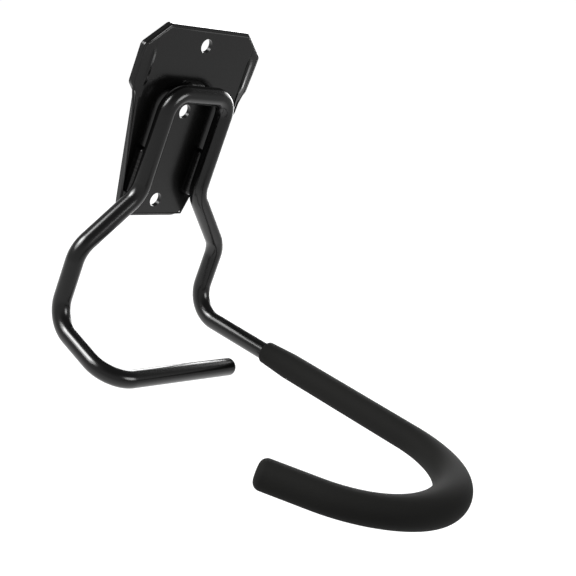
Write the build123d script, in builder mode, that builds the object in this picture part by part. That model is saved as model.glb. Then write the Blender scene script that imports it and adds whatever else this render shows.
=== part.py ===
from build123d import *
import os
from math import cos, exp, radians, sin, tan

# Wall-mounted bike hook, in millimetres. The wall is the plane Y = 0 and the room lies
# towards -Y, so "reach" below means a distance out from the wall. +Z is up, +X is to the
# right for someone who faces the wall. The origin is on the wall plane, at the middle of
# the land that the plate's top edge turns back onto the wall.

# Wall plate: pressed sheet with its edge turned back onto the wall
sheet = 3.0
plate_depth = 4.2
rim_land = 2.4
ear_half_width = 54.5
top_half_width = 37.0
ear_chamfer_drop = 14.5
ear_length = 26.0
shank_half_width = 48.0
ear_foot_drop = 6.5
shank_length = 83.5
foot_half_width = 30.0
outline_corner_radius = 4.0
foot_corner_radius = 13.0
plate_edge_radius = 1.4

# Screw holes on the plate's centre line
screw_hole_radius = 4.8
top_hole_below_edge = 11.5
mid_hole_spacing = 44.8
low_hole_above_foot = 11.8

# Ear folds: outside each fold line the ear slopes back, less and less towards its top
ear_fold_x = 45.5
ear_fold_slope = 15.0
fold_groove_width = 1.6
fold_groove_depth = 0.8
fold_rise = 5.0
fold_overrun = 2.0
fold_vanish = 0.05

# Round bar, bent from one length
rod_radius = 6.0
rod_standoff = 3.0
loop_half_width = 27.4
loop_below_edge = 41.5
loop_bend_radius = 13.5
leg_length = 69.0
splay_out = 38.0
splay_drop = 38.5
drop_length = 50.0
bend_radius = 20.0
arm_out = 3.0
arm_reach = 61.0
arm_drop = 11.0
bar_length = 115.3
bar_end_radius = 3.5
run_reach = 194.5
run_slope = 3.0
hook_bend_radius = 71.6
hook_bend_angle = 152.0
hook_tail = 30.0

# Foam sleeve on the hook end: thinnest at its mouth, and bunched up round the bend
foam_start = 71.0
foam_mouth_radius = 7.6
foam_neck_length = 22.0
foam_run_radius = 8.8
foam_bulge = 3.4
foam_bulge_angle = 68.0
foam_bulge_spread = 40.0
foam_tail_radius = 9.6
foam_bend_sections = 24
foam_gap = 0.2
foam_cap = 4.0
foam_end_radius = 5.0
foam_mouth_rounding = 1.2

# Welds that carry the bar on the plate
weld_width = 12.0
weld_height = 4.6
weld_bevel = 2.2
leg_weld_length = 22.0
leg_weld_above_foot = 7.3
loop_weld_length = 16.0
loop_weld_rise = 1.0

# Heights and depths worked out from the sizes above
plate_top = rim_land / 2
ear_top = plate_top - ear_chamfer_drop
ear_bottom = ear_top - ear_length
shank_top = ear_bottom - ear_foot_drop
plate_bottom = shank_top - shank_length
hole_heights = [plate_top - top_hole_below_edge]
hole_heights.append(hole_heights[0] - mid_hole_spacing)
hole_heights.append(plate_bottom + low_hole_above_foot)
front_y = -plate_depth
rod_y = front_y - rod_standoff - rod_radius
loop_z = plate_top - loop_below_edge


def plate_outline():
    """Octagonal head above a shank that tapers to a round-cornered foot."""
    right = [
        (top_half_width, plate_top),
        (ear_half_width, ear_top),
        (ear_half_width, ear_bottom),
        (shank_half_width, shank_top),
        (foot_half_width, plate_bottom),
    ]
    left = [(-x, z) for x, z in reversed(right)]
    return right + left


# Ear folds: each wedge is full at the ear's foot and runs out to nothing at its top
fold_top = ear_top + fold_rise
fold_bottom = shank_top - fold_overrun
fold_run = ear_half_width + fold_overrun - ear_fold_x
fold_depth = fold_run * tan(radians(ear_fold_slope))
with BuildPart() as ear_fold:
    for height, depth in ((fold_bottom, fold_depth), (fold_top, fold_vanish)):
        with BuildSketch(Plane.XY.offset(height)):
            with BuildLine():
                Polyline(
                    (ear_fold_x, front_y),
                    (ear_fold_x + fold_run, front_y),
                    (ear_fold_x + fold_run, front_y + depth),
                    close=True,
                )
            make_face()
    loft(ruled=True)
    for height, depth in ((fold_bottom, fold_groove_depth), (fold_top, fold_vanish)):
        with BuildSketch(Plane.XY.offset(height)):
            with BuildLine():
                Polyline(
                    (ear_fold_x - fold_groove_width, front_y),
                    (ear_fold_x, front_y),
                    (ear_fold_x, front_y + depth),
                    close=True,
                )
            make_face()
    loft(ruled=True)
    mirror(about=Plane.YZ)

# Wall plate
wall_plane = Plane.XZ
front_plane = Plane.XZ.offset(plate_depth)
with BuildPart() as wall_plate:
    with BuildSketch(wall_plane) as outline:
        with BuildLine():
            Polyline(*plate_outline(), close=True)
        make_face()
        feet = outline.vertices().group_by(Axis.Y)[0]
        fillet(feet, foot_corner_radius)
        heads = outline.vertices().filter_by(lambda v: v.Y > shank_top - sheet)
        fillet(heads, outline_corner_radius)
    extrude(amount=plate_depth)
    front_rim = wall_plate.faces().sort_by(Axis.Y)[0].edges()
    fillet(front_rim, plate_edge_radius)
    with BuildSketch(wall_plane):
        offset(outline.sketch_local, amount=-rim_land)
    extrude(amount=plate_depth - sheet, mode=Mode.SUBTRACT)
    with BuildSketch(wall_plane):
        for height in hole_heights:
            with Locations((0, height)):
                Circle(screw_hole_radius)
    extrude(amount=plate_depth, mode=Mode.SUBTRACT)
    add(ear_fold.part, mode=Mode.SUBTRACT)
wall_plate.part.label = "wall_plate"


def bend_points(before, corner, after, radius):
    """Where an arc of this radius leaves the two straight runs that meet at the corner."""
    turn = radians((corner - before).get_angle(after - corner))
    cut_back = radius * tan(turn / 2)
    start = corner + (before - corner).normalized() * cut_back
    end = corner + (after - corner).normalized() * cut_back
    return start, end


# Corners of the bar's centre line, from the free end of the short arm to the hook's bend
leg_foot_z = loop_z - leg_length
splay_foot_z = leg_foot_z - splay_drop
drop_foot_z = splay_foot_z - drop_length
drop_x = loop_half_width + splay_out
arm_y = rod_y - arm_reach
arm_z = drop_foot_z - arm_drop
arm_x = -drop_x - arm_out
run_direction = Vector(0, -cos(radians(run_slope)), sin(radians(run_slope)))
run_start = Vector(drop_x, rod_y, drop_foot_z)
run_end = run_start + run_direction * (run_reach / cos(radians(run_slope)))
corners = [
    (Vector(arm_x + bar_length, arm_y, arm_z), 0),
    (Vector(arm_x, arm_y, arm_z), bend_radius),
    (Vector(-drop_x, rod_y, drop_foot_z), bend_radius),
    (Vector(-drop_x, rod_y, splay_foot_z), bend_radius),
    (Vector(-loop_half_width, rod_y, leg_foot_z), bend_radius),
    (Vector(-loop_half_width, rod_y, loop_z), loop_bend_radius),
    (Vector(loop_half_width, rod_y, loop_z), loop_bend_radius),
    (Vector(loop_half_width, rod_y, leg_foot_z), bend_radius),
    (Vector(drop_x, rod_y, splay_foot_z), bend_radius),
    (run_start, bend_radius),
    (run_end, 0),
]

# The hook's bend turns left in the plane of the forward run, then a short straight tail
bend_turn = radians(hook_bend_angle)
bend_end = (
    run_end
    + run_direction * (hook_bend_radius * sin(bend_turn))
    + Vector(-hook_bend_radius * (1 - cos(bend_turn)), 0, 0)
)
tail_direction = run_direction * cos(bend_turn) + Vector(-sin(bend_turn), 0, 0)
tail_end = bend_end + tail_direction * hook_tail
foam_tip = tail_end + tail_direction * foam_cap

# Round bar
with BuildPart() as hook_rod:
    with BuildLine() as rod_path:
        here = corners[0][0]
        for index in range(1, len(corners) - 1):
            corner, radius = corners[index]
            start, end = bend_points(corners[index - 1][0], corner, corners[index + 1][0], radius)
            Line(here, start)
            TangentArc(start, end, tangent=corner - start)
            here = end
        Line(here, run_end)
        TangentArc(run_end, bend_end, tangent=run_direction)
        Line(bend_end, tail_end)
    bar_end_plane = Plane(origin=corners[0][0], z_dir=(-1, 0, 0))
    with BuildSketch(bar_end_plane):
        Circle(rod_radius)
    sweep(path=rod_path.wire())
    rims = hook_rod.edges().filter_by(GeomType.CIRCLE)
    bar_end_edge = rims.sort_by_distance(corners[0][0])[0]
    fillet(bar_end_edge, bar_end_radius)
hook_rod.part.label = "hook_rod"


def foam_section(distance):
    """Plane across the sleeve and its radius, this far along the hook's bend."""
    turned = distance / hook_bend_radius
    centre = (
        run_end
        + run_direction * (hook_bend_radius * sin(turned))
        + Vector(-hook_bend_radius * (1 - cos(turned)), 0, 0)
    )
    heading = run_direction * cos(turned) + Vector(-sin(turned), 0, 0)
    share = turned / bend_turn
    from_bulge = (turned - radians(foam_bulge_angle)) / radians(foam_bulge_spread)
    plain = foam_run_radius + (foam_tail_radius - foam_run_radius) * share
    return Plane(origin=centre, z_dir=heading), plain + foam_bulge * exp(-(from_bulge**2))


# Foam sleeve: neck and run, the bend with its bulge, the tail, then the bore for the bar
foam_mouth = run_start + run_direction * foam_start
foam_neck_end = foam_mouth + run_direction * foam_neck_length
bend_length = hook_bend_radius * bend_turn
bore_radius = rod_radius + foam_gap
with BuildPart() as foam_sleeve:
    for place, radius in ((foam_mouth, foam_mouth_radius), (foam_neck_end, foam_run_radius)):
        with BuildSketch(Plane(origin=place, z_dir=run_direction)):
            Circle(radius)
    loft(ruled=True)
    with BuildSketch(Plane(origin=foam_neck_end, z_dir=run_direction)):
        Circle(foam_run_radius)
    extrude(amount=(run_end - foam_neck_end).length)
    for number in range(foam_bend_sections + 1):
        section_plane, radius = foam_section(bend_length * number / foam_bend_sections)
        with BuildSketch(section_plane):
            Circle(radius)
    loft(ruled=True)
    with BuildSketch(Plane(origin=bend_end, z_dir=tail_direction)):
        Circle(foam_tail_radius)
    extrude(amount=(foam_tip - bend_end).length)
    rims = foam_sleeve.edges().filter_by(GeomType.CIRCLE)
    fillet(rims.sort_by_distance(foam_tip)[0], foam_end_radius)
    chamfer(rims.sort_by_distance(foam_mouth)[0], foam_mouth_rounding)
    with BuildSketch(Plane(origin=foam_mouth, z_dir=run_direction)):
        Circle(bore_radius)
    extrude(amount=(run_end - foam_mouth).length, mode=Mode.SUBTRACT)
    for number in range(foam_bend_sections + 1):
        section_plane = foam_section(bend_length * number / foam_bend_sections)[0]
        with BuildSketch(section_plane):
            Circle(bore_radius)
    loft(ruled=True, mode=Mode.SUBTRACT)
    with BuildSketch(Plane(origin=bend_end, z_dir=tail_direction)):
        Circle(bore_radius)
    extrude(amount=hook_tail, mode=Mode.SUBTRACT)
foam_sleeve.part.label = "foam_sleeve"

# Welds: a low mound on the plate behind the loop and each leg, with the bar sunk in its top
leg_weld_z = leg_foot_z + leg_weld_above_foot
with BuildPart() as weld_seams:
    with BuildSketch(front_plane):
        with Locations((0, loop_z + loop_weld_rise)):
            SlotOverall(loop_weld_length, weld_width)
        with Locations((-loop_half_width, leg_weld_z), (loop_half_width, leg_weld_z)):
            SlotOverall(leg_weld_length, weld_width, rotation=90)
    extrude(amount=weld_height)
    chamfer(weld_seams.faces().sort_by(Axis.Y)[:3].edges(), weld_bevel)
    add(hook_rod.part, mode=Mode.SUBTRACT)
weld_seams.part.label = "weld_seams"

os.makedirs("parts", exist_ok=True)
for piece in (wall_plate, hook_rod, foam_sleeve, weld_seams):
    export_step(piece.part, f"parts/{piece.part.label}.step")
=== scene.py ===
from math import cos, exp, pi, radians, sin, tan

import bmesh
import bpy
from mathutils import Matrix, Vector


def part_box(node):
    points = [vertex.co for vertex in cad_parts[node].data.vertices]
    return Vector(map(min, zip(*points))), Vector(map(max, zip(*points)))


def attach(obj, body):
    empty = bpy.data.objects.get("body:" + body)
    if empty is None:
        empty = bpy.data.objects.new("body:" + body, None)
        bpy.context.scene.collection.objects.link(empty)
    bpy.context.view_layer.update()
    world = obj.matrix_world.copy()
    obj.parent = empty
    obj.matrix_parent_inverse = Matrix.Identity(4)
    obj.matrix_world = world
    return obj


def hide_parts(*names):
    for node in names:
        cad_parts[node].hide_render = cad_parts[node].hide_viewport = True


# Wall hook for a bicycle wheel, in metres. The wall is the plane y = 0, the room is
# towards -y, +z is up and +x is to the right for someone who faces the wall.
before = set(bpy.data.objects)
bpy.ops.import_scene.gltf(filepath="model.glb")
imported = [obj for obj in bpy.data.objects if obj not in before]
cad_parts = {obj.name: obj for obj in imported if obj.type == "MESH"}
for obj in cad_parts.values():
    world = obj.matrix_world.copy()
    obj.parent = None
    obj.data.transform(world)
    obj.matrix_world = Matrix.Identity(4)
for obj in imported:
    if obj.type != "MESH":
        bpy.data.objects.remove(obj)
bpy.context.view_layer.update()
mm = 0.001

# Plate and bar, as the CAD nodes have them
plate_low, plate_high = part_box("wall_plate")
plate_front = plate_low.y
plate_top = plate_high.z
bar_radius = 6.0 * mm
bar_standoff = 3.0 * mm
loop_half_width = 27.4 * mm
loop_below_edge = 41.5 * mm
loop_bend_radius = 13.5 * mm
leg_length = 69.0 * mm
splay_out = 38.0 * mm
splay_drop = 38.5 * mm
drop_length = 50.0 * mm
bend_radius = 20.0 * mm
arm_out = 3.0 * mm
arm_reach = 61.0 * mm
arm_drop = 11.0 * mm
cross_bar_length = 115.3 * mm
cross_bar_end_radius = 3.5 * mm
run_reach = 194.5 * mm
run_slope = radians(3.0)
hook_bend_radius = 71.6 * mm
hook_bend_angle = radians(152.0)
hook_tail = 30.0 * mm

# Foam sleeve: thinnest at its mouth, and bunched up round the bend
foam_start = 71.0 * mm
foam_mouth_radius = 7.6 * mm
foam_mouth_rounding = 1.2 * mm
foam_neck_length = 22.0 * mm
foam_run_radius = 8.8 * mm
foam_bulge = 3.4 * mm
foam_bulge_angle = radians(68.0)
foam_bulge_spread = radians(40.0)
foam_tail_radius = 9.6 * mm
# The soft cap stands 1 mm further past the bar's tail than the solid's does
foam_cap = 5.0 * mm
foam_end_radius = 5.0 * mm

# Plate outline and its ears, which slope back outside the pressed ribs
top_half_width = 37.0 * mm
ear_half_width = 54.5 * mm
ear_top_drop = 14.5 * mm
ear_length = 26.0 * mm
shank_half_width = 48.0 * mm
shank_top_drop = 47.0 * mm
foot_half_width = 30.0 * mm
ear_fold_x = 45.5 * mm
ear_fold_slope = radians(15.0)
fold_top_drop = 9.5 * mm
fold_bottom_drop = 49.0 * mm

# Pressed rib on each ear's fold
rib_steep_flank = 0.9 * mm
left_rib_gentle_flank = 3.4 * mm
right_rib_gentle_flank = 4.76 * mm
rib_height = 0.95 * mm
rib_root_depth = 0.2 * mm
rib_top_drop = 15.5 * mm
rib_bottom_drop = 41.0 * mm
# Share of the rib's length over which each end runs out
rib_run_out = 0.2
# Across the rib from left to right: share of the flank's width, and share of the height
rib_section = [(-1, 0), (-0.22, 0.86), (0, 1), (0.12, 0.94), (1, 0)]

# Fat edge of enamel along the plate's rim
fat_edge_inset = 1.9 * mm
fat_edge_radius = 0.7 * mm
fat_edge_height = 0.25 * mm

# Weld beads behind the loop and behind each leg: overlapping drops of metal
weld_drop_radius = 3.7 * mm
weld_drop_spacing = 1.2 * mm
weld_drop_standoff = 1.0 * mm
weld_drop_least = 0.97
weld_drop_most = 1.01
weld_seed = 7
leg_weld_top = 84.0 * mm
leg_weld_foot = 109.5 * mm
loop_weld_half_length = 5.0 * mm
loop_weld_rise = 2.2 * mm

# How finely the pieces are meshed
arc_step = radians(4.0)
bar_sides = 64
foam_sides = 96
fat_edge_sides = 16
drop_segments, drop_rings = 32, 20

# Studio, in metres; a glow of 1 is white
hook_middle = Vector((0, -0.12, -0.1))
lamp_distance = 1.6
horizon_rise, ceiling_rise = 0.1, 0.85
horizon_glow, ceiling_glow = 0.48, 0.14
floor_z = -0.6
floor_reach = 12
# Painted pool of light on the floor paper: its glow at the dim and the bright end, and where it
# fades in x and in y
paper_dim, paper_bright = 0.44, 0.96
paper_dim_x, paper_bright_x = -1.2, 0.1
paper_dim_y, paper_bright_y = -1.2, -0.1


def linear(hex_colour):
    """An sRGB hex colour as the linear values that a shader takes."""
    parts = [int(hex_colour[i:i + 2], 16) / 255 for i in (1, 3, 5)]
    return [c / 12.92 if c <= 0.04045 else ((c + 0.055) / 1.055) ** 2.4 for c in parts] + [1.0]


def placed(name, data):
    """An object in the scene for this mesh, line, lamp or camera."""
    made = bpy.data.objects.new(name, data)
    bpy.context.scene.collection.objects.link(made)
    return made


def add_node(tree, kind, links=(), **settings):
    """Adds a node, sets its fields and sockets by name, and links its inputs."""
    node = tree.nodes.new(kind)
    for name, value in settings.items():
        if name.startswith("in_"):
            key = name[3:]
            key = int(key) if key.isdigit() else key.replace("_", " ")
            node.inputs[key].default_value = value
        else:
            setattr(node, name, value)
    for source, target in links:
        tree.links.new(source, node.inputs[target])
    return node


def new_material(name):
    """An empty node material and its Principled shader."""
    made = bpy.data.materials.new(name)
    made.use_nodes = True
    made.node_tree.nodes.clear()
    shader = add_node(made.node_tree, "ShaderNodeBsdfPrincipled")
    add_node(made.node_tree, "ShaderNodeOutputMaterial", [(shader.outputs[0], "Surface")])
    return made, made.node_tree, shader


def gloss_black_enamel():
    """Baked gloss enamel: near black and wet looking, with a sprayed coat's faint orange peel."""
    made, tree, shader = new_material("gloss_black_enamel")
    shader.inputs["Base Color"].default_value = linear("#070707")
    shader.inputs["IOR"].default_value = 1.5
    shader.inputs["Roughness"].default_value = 0.2
    place = add_node(tree, "ShaderNodeTexCoord")
    # Orange peel of a sprayed coat has waves of about 2 mm
    peel = add_node(tree, "ShaderNodeTexNoise", [(place.outputs["Object"], "Vector")],
                    in_Scale=1 / (2.0 * mm), in_Detail=2.0, in_Roughness=0.5)
    bump = add_node(tree, "ShaderNodeBump", [(peel.outputs["Fac"], "Height")],
                    in_Strength=0.015, in_Distance=0.2 * mm)
    tree.links.new(bump.outputs["Normal"], shader.inputs["Normal"])
    return made


def matte_black_foam():
    """Closed-cell rubber foam: matte, soft dark grey, with a fine skin grain."""
    made, tree, shader = new_material("matte_black_foam")
    shader.inputs["Base Color"].default_value = linear("#151514")
    shader.inputs["IOR"].default_value = 1.35
    shader.inputs["Specular IOR Level"].default_value = 0.2
    shader.inputs["Roughness"].default_value = 0.8
    place = add_node(tree, "ShaderNodeTexCoord")
    # Cells of the foam are about 0.3 mm, drawn at 0.8 mm so that they show
    grain = add_node(tree, "ShaderNodeTexNoise", [(place.outputs["Object"], "Vector")],
                     in_Scale=1 / (0.8 * mm), in_Detail=3.0, in_Roughness=0.6)
    bump = add_node(tree, "ShaderNodeBump", [(grain.outputs["Fac"], "Height")],
                    in_Strength=0.25, in_Distance=0.2 * mm)
    tree.links.new(bump.outputs["Normal"], shader.inputs["Normal"])
    return made


enamel = gloss_black_enamel()
foam_skin = matte_black_foam()


# The bar's centre line
def bend_points(before, corner, after, radius):
    """Points round a bend of this radius between the straight runs that meet at the corner."""
    to_before = (before - corner).normalized()
    to_after = (after - corner).normalized()
    turn = pi - to_before.angle(to_after)
    start = corner + to_before * radius * tan(turn / 2)
    inwards = (to_after - to_before * to_after.dot(to_before)).normalized()
    steps = max(2, round(turn / arc_step))
    angles = [turn * i / steps for i in range(steps + 1)]
    return [start - to_before * radius * sin(a) + inwards * radius * (1 - cos(a)) for a in angles]


bar_y = plate_front - bar_standoff - bar_radius
loop_z = plate_top - loop_below_edge
leg_foot_z = loop_z - leg_length
splay_foot_z = leg_foot_z - splay_drop
drop_foot_z = splay_foot_z - drop_length
drop_x = loop_half_width + splay_out
arm_corner = Vector((-drop_x - arm_out, bar_y - arm_reach, drop_foot_z - arm_drop))
cross_bar_end = arm_corner + Vector((cross_bar_length, 0, 0))
run_direction = Vector((0, -cos(run_slope), sin(run_slope)))
run_start = Vector((drop_x, bar_y, drop_foot_z))
run_end = run_start + run_direction * run_reach / cos(run_slope)
turning_left = Vector((-1, 0, 0))


def hook_bend():
    """Points round the hook's bend with their turn, and the direction and end of the tail."""
    steps = round(hook_bend_angle / arc_step * 2)
    points = []
    for i in range(steps + 1):
        turned = hook_bend_angle * i / steps
        along = run_direction * hook_bend_radius * sin(turned)
        across = turning_left * hook_bend_radius * (1 - cos(turned))
        points.append((run_end + along + across, turned))
    leaving = run_direction * cos(hook_bend_angle) + turning_left * sin(hook_bend_angle)
    return points, leaving, points[-1][0] + leaving * hook_tail


bend_line, tail_direction, tail_end = hook_bend()


def bar_line():
    """Centre line of the bar and its radius at each point, from the cross bar to the tail."""
    corners = [
        (cross_bar_end, 0),
        (arm_corner, bend_radius),
        (Vector((-drop_x, bar_y, drop_foot_z)), bend_radius),
        (Vector((-drop_x, bar_y, splay_foot_z)), bend_radius),
        (Vector((-loop_half_width, bar_y, leg_foot_z)), bend_radius),
        (Vector((-loop_half_width, bar_y, loop_z)), loop_bend_radius),
        (Vector((loop_half_width, bar_y, loop_z)), loop_bend_radius),
        (Vector((loop_half_width, bar_y, leg_foot_z)), bend_radius),
        (Vector((drop_x, bar_y, splay_foot_z)), bend_radius),
        (run_start, bend_radius),
        (run_end, 0),
    ]
    end_steps = 8
    line = []
    for i in range(end_steps, -1, -1):
        angle = pi / 2 * i / end_steps
        inset = cross_bar_end_radius * (1 - sin(angle))
        radius = bar_radius - cross_bar_end_radius * (1 - cos(angle))
        line.append((cross_bar_end - Vector((inset, 0, 0)), radius))
    for index in range(1, len(corners) - 1):
        corner, radius = corners[index]
        before, after = corners[index - 1][0], corners[index + 1][0]
        line += [(p, bar_radius) for p in bend_points(before, corner, after, radius)]
    line += [(point, bar_radius) for point, turned in bend_line]
    line.append((tail_end, bar_radius))
    return line


def tube_tree():
    """Geometry Nodes tree: a round section carried along a line, each point with its own girth."""
    tree = bpy.data.node_groups.new("round_section_along_a_line", "GeometryNodeTree")
    tree.interface.new_socket("Line", in_out="INPUT", socket_type="NodeSocketGeometry")
    sides = tree.interface.new_socket("Sides", in_out="INPUT", socket_type="NodeSocketInt")
    finish = tree.interface.new_socket("Finish", in_out="INPUT", socket_type="NodeSocketMaterial")
    tree.interface.new_socket("Piece", in_out="OUTPUT", socket_type="NodeSocketGeometry")
    given = add_node(tree, "NodeGroupInput")
    section = add_node(tree, "GeometryNodeCurvePrimitiveCircle", [
        (given.outputs["Sides"], "Resolution"),
    ], in_Radius=1.0)
    girth = add_node(tree, "GeometryNodeInputRadius")
    swept = add_node(tree, "GeometryNodeCurveToMesh", [
        (given.outputs["Line"], "Curve"), (section.outputs["Curve"], "Profile Curve"),
        (girth.outputs["Radius"], "Scale"),
    ], in_Fill_Caps=True)
    smooth = add_node(tree, "GeometryNodeSetShadeSmooth", [(swept.outputs["Mesh"], "Geometry")])
    real = add_node(tree, "GeometryNodeRealizeInstances", [(smooth.outputs[0], "Geometry")])
    painted = add_node(tree, "GeometryNodeSetMaterial", [
        (real.outputs[0], "Geometry"), (given.outputs["Finish"], "Material"),
    ])
    add_node(tree, "NodeGroupOutput", [(painted.outputs[0], "Piece")])
    return tree, {"Sides": sides.identifier, "Finish": finish.identifier}


section_tree, section_inputs = tube_tree()


def grown(name, lines, tree, inputs):
    """A mesh piece that a tree grows along lines of points, or of (point, radius) pairs."""
    curve = bpy.data.curves.new(name + "_line", "CURVE")
    curve.dimensions = "3D"
    for line in lines:
        spline = curve.splines.new("POLY")
        spline.points.add(len(line) - 1)
        for target, given in zip(spline.points, line):
            point, radius = given if isinstance(given, tuple) else (given, 1.0)
            target.co = (*point, 1.0)
            target.radius = radius
    holder = placed(name + "_line", curve)
    nodes = holder.modifiers.new("grown", "NODES")
    nodes.node_group = tree
    for socket, value in inputs.items():
        nodes[socket] = value
    bpy.context.view_layer.update()
    graph = bpy.context.evaluated_depsgraph_get()
    mesh = bpy.data.meshes.new_from_object(holder.evaluated_get(graph))
    holder.modifiers.remove(nodes)
    bpy.data.objects.remove(holder)
    return placed(name, mesh)


def tube(name, line, sides, finish):
    """A round piece whose centre line is given as (point, radius) pairs."""
    return grown(name, [line], section_tree, {
        section_inputs["Sides"]: sides, section_inputs["Finish"]: finish,
    })


bar = tube("round_bar", bar_line(), bar_sides, enamel)
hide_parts("hook_rod")
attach(bar, "root")


def foam_line():
    """Centre line and radius of the foam sleeve, closed round the bar's tail."""
    mouth = run_start + run_direction * foam_start
    neck_end = mouth + run_direction * foam_neck_length
    tip = tail_end + tail_direction * foam_cap
    steps = 10
    line = []
    for i in range(steps + 1):
        angle = pi / 2 * i / steps
        radius = foam_mouth_radius - foam_mouth_rounding * (1 - sin(angle))
        line.append((mouth + run_direction * foam_mouth_rounding * (1 - cos(angle)), radius))
    line.append((neck_end, foam_run_radius))
    for point, turned in bend_line:
        plain = foam_run_radius + (foam_tail_radius - foam_run_radius) * turned / hook_bend_angle
        bulge = foam_bulge * exp(-((turned - foam_bulge_angle) / foam_bulge_spread) ** 2)
        line.append((point, plain + bulge))
    for i in range(steps + 1):
        angle = pi / 2 * i / steps
        radius = foam_tail_radius - foam_end_radius * (1 - cos(angle))
        line.append((tip - tail_direction * foam_end_radius * (1 - sin(angle)), radius))
    return line


foam = tube("foam_grip", foam_line(), foam_sides, foam_skin)
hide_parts("foam_sleeve")
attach(foam, "root")

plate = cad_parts["wall_plate"]
plate.data.materials.clear()
plate.data.materials.append(enamel)


def plate_face(x, z):
    """The point of the plate's front at this x and z, on the sloping ears too."""
    outside = max(0.0, abs(x) - ear_fold_x)
    drop = plate_top - z
    share = (drop - fold_top_drop) / (fold_bottom_drop - fold_top_drop)
    share = share if 0 < share < 1 else 0
    return Vector((x, plate_front + outside * tan(ear_fold_slope) * share, z))


def ear_rib(name, x, gentle_flank):
    """A pressed rib down an ear's fold: steep on its left, gentle on its right."""
    steps = 16
    rib = bmesh.new()
    rows = []
    for i in range(steps + 1):
        along = i / steps
        z = plate_top - rib_top_drop - (rib_bottom_drop - rib_top_drop) * along
        swell = min(1.0, along / rib_run_out, (1 - along) / rib_run_out)
        row = []
        for side, rise in rib_section:
            flank = rib_steep_flank if side < 0 else gentle_flank
            sunk = rib_root_depth if rise == 0 else -rib_height * rise * swell
            row.append(rib.verts.new(plate_face(x + side * flank, z) + Vector((0, sunk, 0))))
        rows.append(row)
    for upper, lower in zip(rows, rows[1:]):
        for j in range(len(rib_section)):
            k = (j + 1) % len(rib_section)
            rib.faces.new((upper[j], upper[k], lower[k], lower[j]))
    rib.faces.new(rows[0])
    rib.faces.new(rows[-1])
    bmesh.ops.recalc_face_normals(rib, faces=rib.faces)
    mesh = bpy.data.meshes.new(name)
    rib.to_mesh(mesh)
    rib.free()
    mesh.materials.append(enamel)
    return placed(name, mesh)


def fat_edge_line():
    """Centre line of the enamel's fat edge, along the plate's outline.

    It lies inside the head's edge. The corners under the ears are offset outwards, so that it
    stands up to 2.5 mm outside the upper shank, and it cuts square across the round foot corners.
    """
    right = [
        (top_half_width, 0),
        (ear_half_width, ear_top_drop),
        (ear_half_width, ear_top_drop + ear_length),
        (shank_half_width, shank_top_drop),
        (foot_half_width, plate_top - plate_low.z),
    ]
    outline = [Vector((x, plate_top - drop)) for x, drop in right]
    outline += [Vector((-p.x, p.y)) for p in reversed(outline)]
    count = len(outline)
    corners = []
    for i in range(count):
        before, here, after = outline[i - 1], outline[i], outline[(i + 1) % count]
        ahead, back = (after - here).normalized(), (before - here).normalized()
        inwards = (ahead + back).normalized()
        corners.append(here + inwards * fat_edge_inset / sin(ahead.angle(back) / 2))
    steps = 12
    points = []
    for start, end in zip(corners, corners[1:] + corners[:1]):
        points += [start.lerp(end, i / steps) for i in range(steps)]
    points.append(corners[0])
    sunk = Vector((0, fat_edge_radius - fat_edge_height, 0))
    return [(plate_face(p.x, p.y) + sunk, fat_edge_radius) for p in points]


pressed = [
    ear_rib("ear_rib_left", -ear_fold_x, left_rib_gentle_flank),
    ear_rib("ear_rib_right", ear_fold_x, right_rib_gentle_flank),
    tube("fat_edge", fat_edge_line(), fat_edge_sides, enamel),
]
for piece in pressed:
    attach(piece, "root")


def bead_tree():
    """Geometry Nodes tree: a weld bead, laid as overlapping drops of metal along a line."""
    tree = bpy.data.node_groups.new("drops_of_metal_along_a_line", "GeometryNodeTree")
    tree.interface.new_socket("Line", in_out="INPUT", socket_type="NodeSocketGeometry")
    spacing = tree.interface.new_socket("Spacing", in_out="INPUT", socket_type="NodeSocketFloat")
    radius = tree.interface.new_socket("Radius", in_out="INPUT", socket_type="NodeSocketFloat")
    finish = tree.interface.new_socket("Finish", in_out="INPUT", socket_type="NodeSocketMaterial")
    tree.interface.new_socket("Piece", in_out="OUTPUT", socket_type="NodeSocketGeometry")
    given = add_node(tree, "NodeGroupInput")
    places = add_node(tree, "GeometryNodeCurveToPoints", [
        (given.outputs["Line"], "Curve"), (given.outputs["Spacing"], "Length"),
    ], mode="LENGTH")
    drop = add_node(tree, "GeometryNodeMeshUVSphere", [
        (given.outputs["Radius"], "Radius"),
    ], in_Segments=drop_segments, in_Rings=drop_rings)
    smooth = add_node(tree, "GeometryNodeSetShadeSmooth", [(drop.outputs["Mesh"], "Geometry")])
    # Inputs 2 and 3 are the least and the most of a random float
    uneven = add_node(tree, "FunctionNodeRandomValue", data_type="FLOAT",
                      in_2=weld_drop_least, in_3=weld_drop_most, in_Seed=weld_seed)
    laid = add_node(tree, "GeometryNodeInstanceOnPoints", [
        (places.outputs["Points"], "Points"), (smooth.outputs[0], "Instance"),
        (uneven.outputs[1], "Scale"),
    ])
    real = add_node(tree, "GeometryNodeRealizeInstances", [(laid.outputs[0], "Geometry")])
    painted = add_node(tree, "GeometryNodeSetMaterial", [
        (real.outputs[0], "Geometry"), (given.outputs["Finish"], "Material"),
    ])
    add_node(tree, "NodeGroupOutput", [(painted.outputs[0], "Piece")])
    return tree, {
        "Spacing": spacing.identifier, "Radius": radius.identifier, "Finish": finish.identifier,
    }


drops_tree, drops_inputs = bead_tree()


def weld_lines():
    """Centre lines of the three weld beads, a little in front of the plate."""
    y = plate_front - weld_drop_standoff
    loop_weld_z = loop_z + loop_weld_rise
    lines = []
    for x in (-loop_half_width, loop_half_width):
        lines.append([Vector((x, y, -leg_weld_top)), Vector((x, y, -leg_weld_foot))])
    ends = (-loop_weld_half_length, loop_weld_half_length)
    lines.append([Vector((x, y, loop_weld_z)) for x in ends])
    return lines


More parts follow.
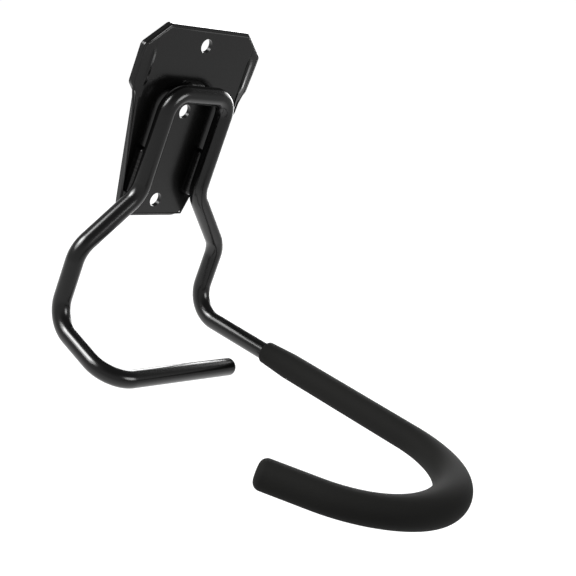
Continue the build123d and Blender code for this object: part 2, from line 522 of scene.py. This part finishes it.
welds = grown("weld_beads", weld_lines(), drops_tree, {
    drops_inputs["Spacing"]: weld_drop_spacing, drops_inputs["Radius"]: weld_drop_radius,
    drops_inputs["Finish"]: enamel,
})
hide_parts("weld_seams")
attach(welds, "root")


# Studio
def soft_box(name, heading, height, size, brightness, distance=lamp_distance):
    """An oval soft box, placed round the hook by compass heading and height in degrees.

    Heading 0 is through the wall, 90 is to the right and 180 is out into the room. The size is
    in metres, and the brightness is the panel's own, where 1 is white.
    """
    lamp = bpy.data.lights.new(name, "AREA")
    lamp.shape = "ELLIPSE"
    lamp.size, lamp.size_y = size
    oval_area = pi / 4 * lamp.size * lamp.size_y
    lamp.energy = brightness * pi * oval_area
    holder = placed(name, lamp)
    heading, height = radians(heading), radians(height)
    towards = Vector((sin(heading) * cos(height), cos(heading) * cos(height), sin(height)))
    holder.location = hook_middle + towards * distance
    holder.rotation_euler = towards.to_track_quat("Z", "Y").to_euler()
    holder.visible_camera = False


soft_box("main_box_left", -61, 34, (1.3, 1.2), 7)
soft_box("main_box_heart", -57, 37, (0.62, 0.62), 17, distance=1.55)
soft_box("side_box_right", 85, 22, (0.7, 0.6), 3)
soft_box("room_box", 161, 24, (0.9, 0.66), 7)
soft_box("back_box", 60, 10, (1.2, 0.75), 7)
soft_box("edge_box", 66, -10, (0.7, 0.3), 3)

# Room round the hook: pale near the horizon, darker towards the ceiling
world = bpy.data.worlds.new("studio_room")
bpy.context.scene.world = world
world.use_nodes = True
room = world.node_tree
room.nodes.clear()
looking = add_node(room, "ShaderNodeTexCoord")
upwards = add_node(room, "ShaderNodeSeparateXYZ", [(looking.outputs["Generated"], "Vector")])
walls = add_node(room, "ShaderNodeMapRange", [(upwards.outputs["Z"], "Value")],
                 interpolation_type="SMOOTHSTEP",
                 in_From_Min=horizon_rise, in_From_Max=ceiling_rise,
                 in_To_Min=horizon_glow, in_To_Max=ceiling_glow)
glow = add_node(room, "ShaderNodeBackground", [(walls.outputs["Result"], "Strength")],
                in_Color=linear("#ffffff"))
add_node(room, "ShaderNodeOutputWorld", [(glow.outputs[0], "Surface")])


def paper_with_painted_glow():
    """Matte white paper that glows, with a painted pool of light.

    The painted glow is brightest behind the hook and fades smoothly towards the left and out into
    the room.
    """
    made, tree, shader = new_material("paper_with_painted_glow")
    shader.inputs["Base Color"].default_value = linear("#7c7c7c")
    shader.inputs["Roughness"].default_value = 0.95
    shader.inputs["Specular IOR Level"].default_value = 0.0
    shader.inputs["Emission Color"].default_value = linear("#ffffff")
    place = add_node(tree, "ShaderNodeTexCoord")
    across = add_node(tree, "ShaderNodeSeparateXYZ", [(place.outputs["Object"], "Vector")])
    rightwards = add_node(tree, "ShaderNodeMapRange", [(across.outputs["X"], "Value")],
                          interpolation_type="SMOOTHSTEP",
                          in_From_Min=paper_dim_x, in_From_Max=paper_bright_x)
    wallwards = add_node(tree, "ShaderNodeMapRange", [(across.outputs["Y"], "Value")],
                         interpolation_type="SMOOTHSTEP",
                         in_From_Min=paper_dim_y, in_From_Max=paper_bright_y)
    both = add_node(tree, "ShaderNodeMath", [
        (rightwards.outputs["Result"], 0), (wallwards.outputs["Result"], 1),
    ], operation="MULTIPLY")
    painted_glow = add_node(tree, "ShaderNodeMapRange", [(both.outputs["Value"], "Value")],
                   in_To_Min=paper_dim, in_To_Max=paper_bright)
    # The painted glow drives the paper's emission, so the floor shows a painted pool of light
    tree.links.new(painted_glow.outputs["Result"], shader.inputs["Emission Strength"])
    return made


# Floor well below the hook, as under a hook on a wall
floor_corners = [
    (-floor_reach, -floor_reach, floor_z), (floor_reach, -floor_reach, floor_z),
    (floor_reach, floor_reach, floor_z), (-floor_reach, floor_reach, floor_z),
]
floor_mesh = bpy.data.meshes.new("studio_floor")
floor_mesh.from_pydata(floor_corners, [], [(0, 1, 2, 3)])
floor_mesh.materials.append(paper_with_painted_glow())
floor = placed("studio_floor", floor_mesh)

# Camera at the photograph's viewing angle, from its right and up directions in the frame.
# Its sensor and lens are in millimetres.
camera_right = Vector((0.62339, -0.70835, 0.33109))
camera_up = Vector((0.04465, 0.45500, 0.88937))
camera_place = Vector((-0.72682, -0.63047, 0.17406))
view_back = camera_right.cross(camera_up).normalized()
view_up = view_back.cross(camera_right).normalized()
camera_data = bpy.data.cameras.new("photo_camera")
camera_data.sensor_width = 36.0
camera_data.lens = 94.826
camera = placed("photo_camera", camera_data)
turn = Matrix((camera_right.normalized(), view_up, view_back)).transposed()
camera.matrix_world = Matrix.Translation(camera_place) @ turn.to_4x4()
bpy.context.scene.camera = camera
bpy.context.scene.view_settings.view_transform = "Standard"
